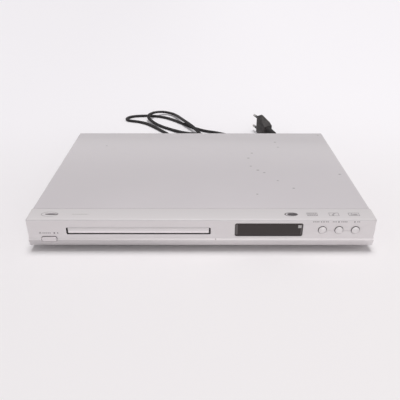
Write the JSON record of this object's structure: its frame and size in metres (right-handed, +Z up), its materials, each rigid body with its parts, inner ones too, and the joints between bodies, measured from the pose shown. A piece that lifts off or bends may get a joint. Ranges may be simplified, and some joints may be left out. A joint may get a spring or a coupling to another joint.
{
  "type": "disc player with tray",
  "caption": "Slim home disc player with a motor-driven drawer tray, a dark display window, round push buttons, rear sockets and a mains lead with a flat two-pin plug.",
  "frame": {"origin": "middle of the player's underside, where the foot pads rest, without the mains lead", "axes": "+X to the right, +Y to the back, +Z up"},
  "size_m": [0.36, 0.4605, 0.0385],
  "materials": {
    "cover_paint": "satin silver paint",
    "bezel_plastic": "satin silver moulded plastic",
    "button_plastic": "polished silver plastic",
    "window_glass": "smoked",
    "zinc_steel": "zinc plated",
    "screw_steel": "plated",
    "black_plastic": "fine grain",
    "tray_plastic": "fine grain",
    "white_plastic": "moulded acetal",
    "foot_rubber": "matt",
    "cable_rubber": "satin",
    "circuit_board": "solder mask",
    "chip_plastic": "matt",
    "can_sleeve": "shrunk sleeve",
    "motor_steel": "bright",
    "bright_steel": "polished",
    "heatsink_metal": "bare",
    "transformer_tape": "taped",
    "lens_glass": "coated",
    "ribbon_film": "film"
  },
  "bodies": {
    "case": {"bottom_chassis": "zinc_steel", "rear_panel": "zinc_steel", "top_cover": "cover_paint", "cover_screws": "screw_steel", "front_bezel": "bezel_plastic", "display_window": "window_glass", "feet": "black_plastic", "foot_pads": "foot_rubber", "front_board": "circuit_board", "display_module": "chip_plastic", "remote_sensor": "chip_plastic", "button_switches": "black_plastic", "switch_board": "circuit_board", "power_switch": "black_plastic", "loader_frame": "black_plastic", "tray_motor": "motor_steel", "drive_belt": "foot_rubber", "clamp_bridge": "zinc_steel", "main_board": "circuit_board", "main_chips": "chip_plastic", "main_capacitors": "can_sleeve", "power_board": "circuit_board", "power_transformer": "transformer_tape", "power_capacitors": "can_sleeve", "power_heatsink": "heatsink_metal", "mains_fuse": "bright_steel", "chassis_screws": "screw_steel", "phono_sockets": "black_plastic", "phono_barrels": "bright_steel", "scart_socket": "black_plastic", "ribbon_cable": "ribbon_film", "front_ribbon": "ribbon_film", "power_harness": "cable_rubber", "cord_gland": "black_plastic", "plug_body": "cable_rubber", "plug_pins": "bright_steel", "mains_cord": "cable_rubber"},
    "tray": {"disc_tray": "tray_plastic", "tray_door": "bezel_plastic"},
    "motor_shaft": {"motor_pulley": "white_plastic"},
    "idler": {"pulley_gear": "white_plastic"},
    "pinion": {"tray_gear": "white_plastic"},
    "cam": {"cam_slider": "white_plastic"},
    "traverse": {"traverse_holder": "black_plastic", "traverse_plate": "zinc_steel", "rubber_dampers": "foot_rubber", "damper_screws": "screw_steel", "spindle_motor": "motor_steel", "guide_rods": "bright_steel", "feed_motor": "motor_steel"},
    "spindle": {"turntable": "black_plastic"},
    "sled": {"pickup_sled": "black_plastic"},
    "lens": {"objective_lens": "lens_glass"},
    "feed_screw": {"lead_screw": "white_plastic"},
    "clamp": {"disc_clamp": "white_plastic"},
    "play": {"play_button": "button_plastic"},
    "stop": {"stop_button": "button_plastic"},
    "eject": {"eject_button": "button_plastic"},
    "power": {"power_button": "bezel_plastic"}
  },
  "joints": [
    {"name": "tray_slide", "type": "slide", "parent": "case", "child": "tray", "axis": [0, -1, 0], "range_m": [0, 0.132]},
    {"name": "tray_gear_spin", "type": "hinge", "parent": "case", "child": "pinion", "pos_m": [-0.022, -0.102, 0.0186], "axis": [0, 0, 1], "range_deg": [-1081.4, 0]},
    {"name": "pulley_gear_spin", "type": "hinge", "parent": "case", "child": "idler", "pos_m": [-0.0428, -0.102, 0.0186], "axis": [0, 0, 1], "range_deg": [0, 3603.4]},
    {"name": "motor_spin", "type": "hinge", "parent": "case", "child": "motor_shaft", "pos_m": [-0.083, -0.102, 0.0186], "axis": [0, 0, 1], "range_deg": [0, 10927.4]},
    {"name": "traverse_tilt", "type": "hinge", "parent": "case", "child": "traverse", "pos_m": [-0.065, 0.036, 0.0174], "axis": [1, 0, 0], "range_deg": [0, 3.17]},
    {"name": "cam_slide", "type": "slide", "parent": "case", "child": "cam", "axis": [1, 0, 0], "range_m": [0, 0.014]},
    {"name": "spindle_spin", "type": "hinge", "parent": "traverse", "child": "spindle", "pos_m": [-0.065, -0.058, 0.0195], "axis": [0, 0, 1], "continuous": true},
    {"name": "clamp_spin", "type": "hinge", "parent": "case", "child": "clamp", "pos_m": [-0.065, -0.058, 0.03], "axis": [0, 0, 1], "continuous": true},
    {"name": "sled_slide", "type": "slide", "parent": "traverse", "child": "sled", "axis": [0, 1, 0], "range_m": [0, 0.034]},
    {"name": "lead_screw_spin", "type": "hinge", "parent": "traverse", "child": "feed_screw", "pos_m": [-0.0325, 0.012, 0.0173], "axis": [0, 1, 0], "range_deg": [0, 4082]},
    {"name": "lens_focus", "type": "slide", "parent": "sled", "child": "lens", "axis": [0, 0, 1], "range_m": [-0.0005, 0.0005], "stiffness_N_per_m": 40},
    {"name": "play_press", "type": "slide", "parent": "case", "child": "play", "axis": [0, 1, 0], "range_m": [0, 0.0008], "stiffness_N_per_m": 600, "springref_m": -0.0012},
    {"name": "stop_press", "type": "slide", "parent": "case", "child": "stop", "axis": [0, 1, 0], "range_m": [0, 0.0008], "stiffness_N_per_m": 600, "springref_m": -0.0012},
    {"name": "eject_press", "type": "slide", "parent": "case", "child": "eject", "axis": [0, 1, 0], "range_m": [0, 0.0008], "stiffness_N_per_m": 600, "springref_m": -0.0012},
    {"name": "power_press", "type": "slide", "parent": "case", "child": "power", "axis": [0, 1, 0], "range_m": [0, 0.003], "stiffness_N_per_m": 400, "springref_m": -0.003}
  ],
  "couplings": [
    {"joint": "tray_gear_spin", "follows": "tray_slide", "rad_per_m": -142.86},
    {"joint": "pulley_gear_spin", "follows": "tray_slide", "rad_per_m": 476.19},
    {"joint": "motor_spin", "follows": "tray_slide", "rad_per_m": 1444.2},
    {"joint": "cam_slide", "follows": "traverse_tilt", "m_per_rad": 0.253},
    {"joint": "clamp_spin", "follows": "spindle_spin", "ratio": 1},
    {"joint": "lead_screw_spin", "follows": "sled_slide", "rad_per_m": 2094.4}
  ]
}
